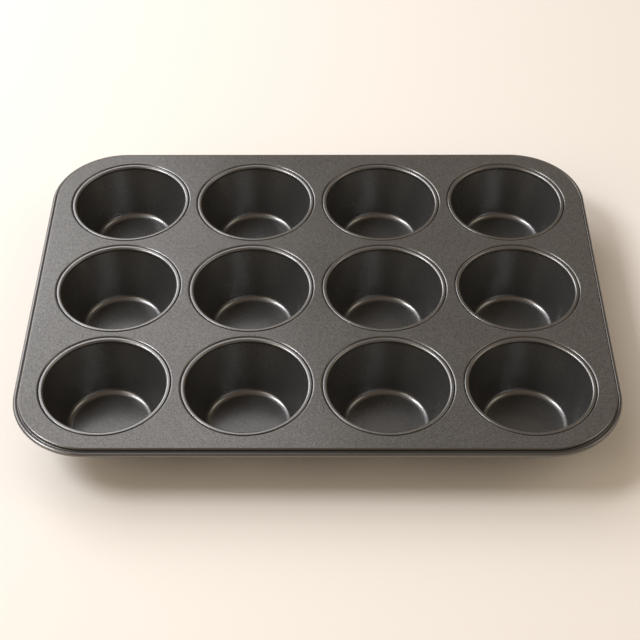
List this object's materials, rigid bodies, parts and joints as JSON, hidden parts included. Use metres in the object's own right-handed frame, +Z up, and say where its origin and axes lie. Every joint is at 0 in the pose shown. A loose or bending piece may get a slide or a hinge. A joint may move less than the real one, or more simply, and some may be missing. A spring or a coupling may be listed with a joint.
{
  "type": "muffin tin",
  "caption": "Flat rectangular baking tin with a grid of round tapered cups seamed into a sheet-metal deck with a wired, rolled edge.",
  "frame": {"origin": "centre of the pan in plan, on the surface that its cups stand on", "axes": "+X along the long side, to the right seen from the front; +Y from the front edge to the back edge; +Z up, out of the cups' mouths"},
  "size_m": [0.3418, 0.2578, 0.035],
  "materials": {
    "deck_coating": "satin dark grey non-stick coating on pressed steel",
    "cup_coating": "satin dark grey non-stick coating on drawn steel",
    "rim_wire_steel": "plain drawn steel wire"
  },
  "bodies": {
    "root": {"deck_plate": "deck_coating", "rim_wire": "rim_wire_steel", "cup_front_1": "cup_coating", "cup_front_2": "cup_coating", "cup_front_3": "cup_coating", "cup_front_4": "cup_coating", "cup_middle_1": "cup_coating", "cup_middle_2": "cup_coating", "cup_middle_3": "cup_coating", "cup_middle_4": "cup_coating", "cup_back_1": "cup_coating", "cup_back_2": "cup_coating", "cup_back_3": "cup_coating", "cup_back_4": "cup_coating"}
  },
  "joints": []
}
